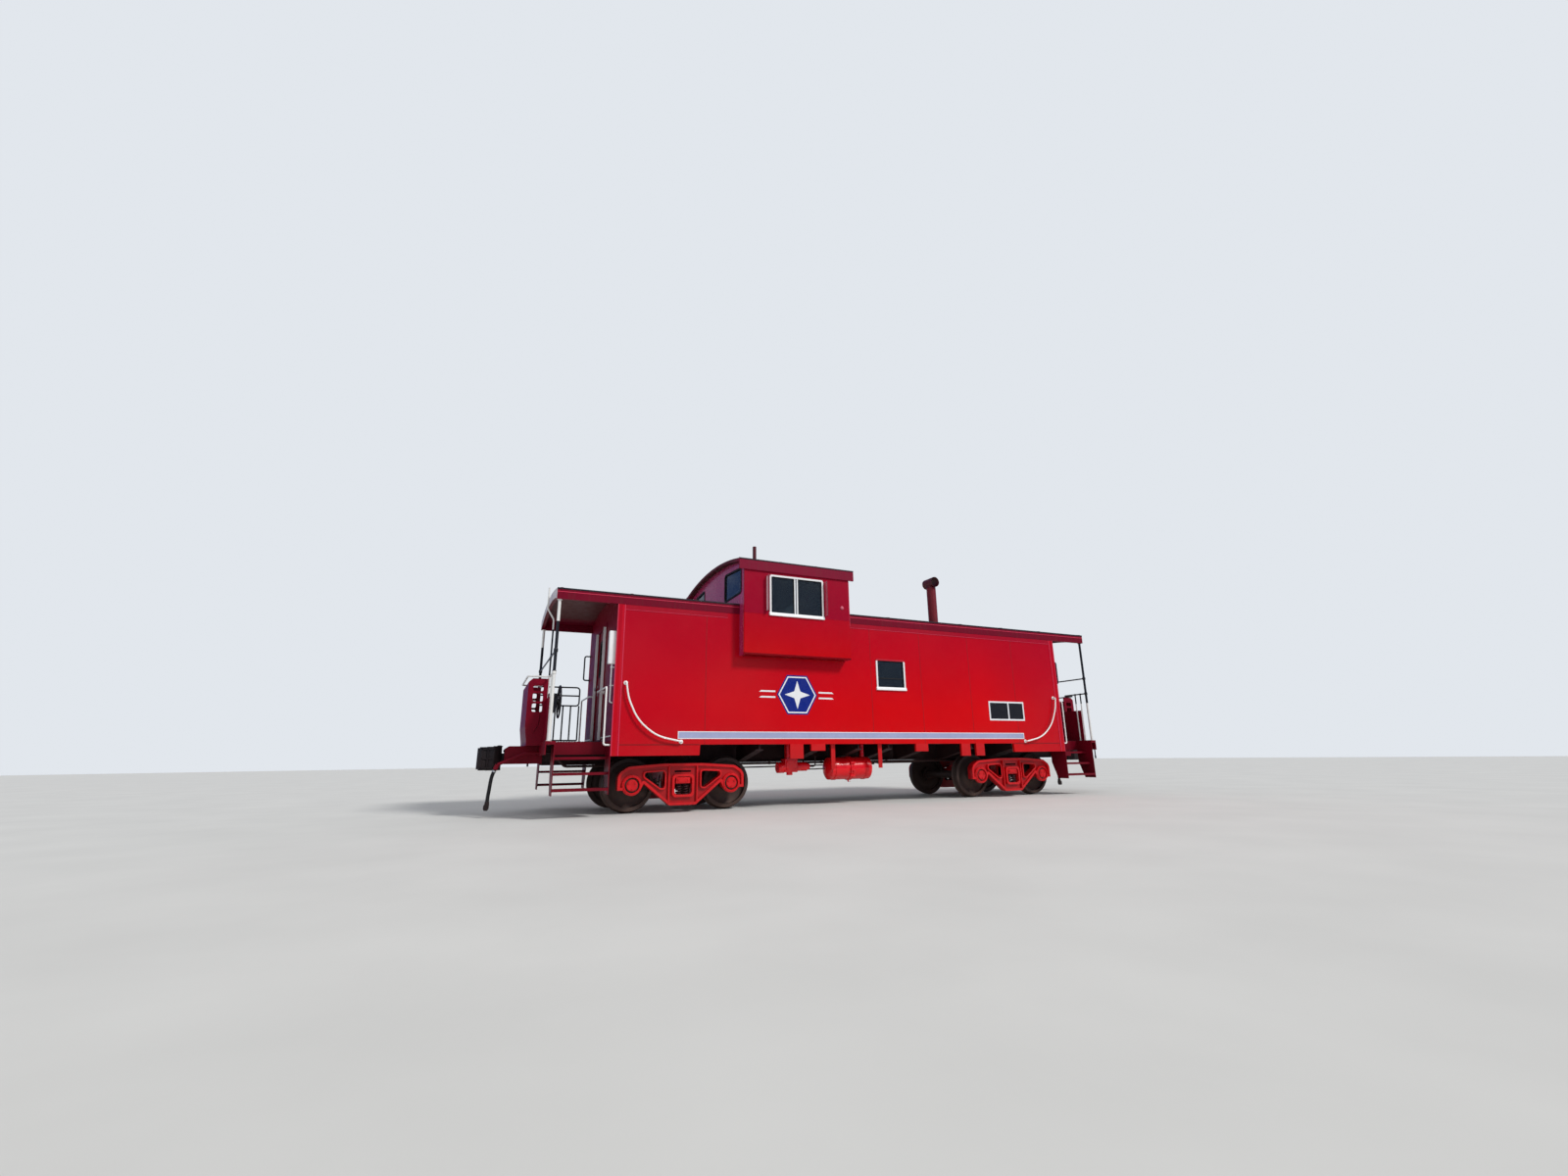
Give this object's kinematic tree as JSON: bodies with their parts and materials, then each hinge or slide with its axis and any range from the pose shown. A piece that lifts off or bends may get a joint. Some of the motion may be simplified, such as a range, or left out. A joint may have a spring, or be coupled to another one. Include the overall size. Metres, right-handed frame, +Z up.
{
  "type": "bay cupola railway caboose",
  "caption": "Steel railway caboose with a wide bay cupola, end platforms and steps, two swivelling trucks, free-turning wheelsets and inward-opening end doors.",
  "frame": {"origin": "on the floor at the flanges' lowest points, under the middle of the car", "axes": "+X along the car towards the stack end, +Y across it away from the side in the picture, +Z up"},
  "size_m": [13.3398, 3.43, 5.0958],
  "materials": {
    "body_red": "gloss red enamel on steel plate",
    "end_red": "dark red enamel, shaded ends",
    "roof": "dark red weathered roof paint",
    "deck": "dark red worn paint",
    "underframe": "flat black, dusty",
    "truck_red": "semi-gloss red over cast steel",
    "wheel_steel": "dark forged steel, rusty brown dust",
    "coupler_iron": "rough black cast steel",
    "rail_black": "gloss black pipe",
    "grab_white": "gloss white bar",
    "frame_white": "white painted window frame",
    "glass": "tinted window glass",
    "stack_metal": "flat black heat-resistant paint",
    "cabin_paint": "pale green cabin enamel",
    "seat_vinyl": "dark brown padded vinyl",
    "hose_rubber": "matte black rubber"
  },
  "bodies": {
    "body": {"center_sill": "underframe", "crossbearers": "underframe", "body_bolsters": "underframe", "cabin_floor": "deck", "platforms": "end_red", "side_wall_near": "body_red", "side_wall_far": "body_red", "end_wall_left": "end_red", "end_wall_right": "end_red", "roof_left": "roof", "roof_right": "roof", "cupola_side_near": "body_red", "cupola_side_far": "body_red", "cupola_end_left": "body_red", "cupola_end_right": "body_red", "cupola_roof": "roof", "window_frames": "frame_white", "window_glass": "glass", "wind_deflectors": "body_red", "grab_irons": "grab_white", "steps_left": "end_red", "steps_right": "end_red", "end_posts_left": "rail_black", "end_posts_right": "rail_black", "end_bay_left": "end_red", "end_bay_right": "end_red", "hand_brakes": "rail_black", "couplers": "coupler_iron", "draft_boxes": "end_red", "smoke_stack": "stack_metal", "antenna": "stack_metal", "air_tank": "truck_red", "control_valve": "truck_red", "brake_cylinder": "underframe", "post_grabs": "rail_black", "cabin_fittings": "cabin_paint", "cupola_seats": "seat_vinyl", "stove": "stack_metal", "sill_brackets": "underframe", "angle_cocks": "truck_red", "glad_hands": "coupler_iron", "air_hose_left": "hose_rubber", "air_hose_right": "hose_rubber", "side_guard": "rail_black"},
    "truck_left": {"truck_frames_left": "truck_red", "truck_bolster_left": "truck_red", "truck_springs_left": "truck_red"},
    "truck_right": {"truck_frames_right": "truck_red", "truck_bolster_right": "truck_red", "truck_springs_right": "truck_red"},
    "axle_1": {"wheelset_1": "wheel_steel"},
    "axle_2": {"wheelset_2": "wheel_steel"},
    "axle_3": {"wheelset_3": "wheel_steel"},
    "axle_4": {"wheelset_4": "wheel_steel"},
    "door_left": {"end_door_left": "end_red", "door_glass_left": "glass"},
    "door_right": {"end_door_right": "end_red", "door_glass_right": "glass"}
  },
  "joints": [
    {"name": "truck_left_swivel", "type": "hinge", "parent": "body", "child": "truck_left", "pos_m": [-3.556, 0, 0.716], "axis": [0, 0, 1], "range_deg": [-5, 5]},
    {"name": "truck_right_swivel", "type": "hinge", "parent": "body", "child": "truck_right", "pos_m": [3.556, 0, 0.716], "axis": [0, 0, 1], "range_deg": [-5, 5]},
    {"name": "axle_1_spin", "type": "hinge", "parent": "truck_left", "child": "axle_1", "pos_m": [-4.394, 0, 0.445], "axis": [0, 1, 0], "continuous": true},
    {"name": "axle_2_spin", "type": "hinge", "parent": "truck_left", "child": "axle_2", "pos_m": [-2.718, 0, 0.445], "axis": [0, 1, 0], "continuous": true},
    {"name": "axle_3_spin", "type": "hinge", "parent": "truck_right", "child": "axle_3", "pos_m": [2.718, 0, 0.445], "axis": [0, 1, 0], "continuous": true},
    {"name": "axle_4_spin", "type": "hinge", "parent": "truck_right", "child": "axle_4", "pos_m": [4.394, 0, 0.445], "axis": [0, 1, 0], "continuous": true},
    {"name": "door_left_hinge", "type": "hinge", "parent": "body", "child": "door_left", "pos_m": [-4.748, -0.35, 2.1], "axis": [0, 0, -1], "range_deg": [0, 95]},
    {"name": "door_right_hinge", "type": "hinge", "parent": "body", "child": "door_right", "pos_m": [4.748, 0.35, 2.1], "axis": [0, 0, -1], "range_deg": [0, 95]}
  ]
}
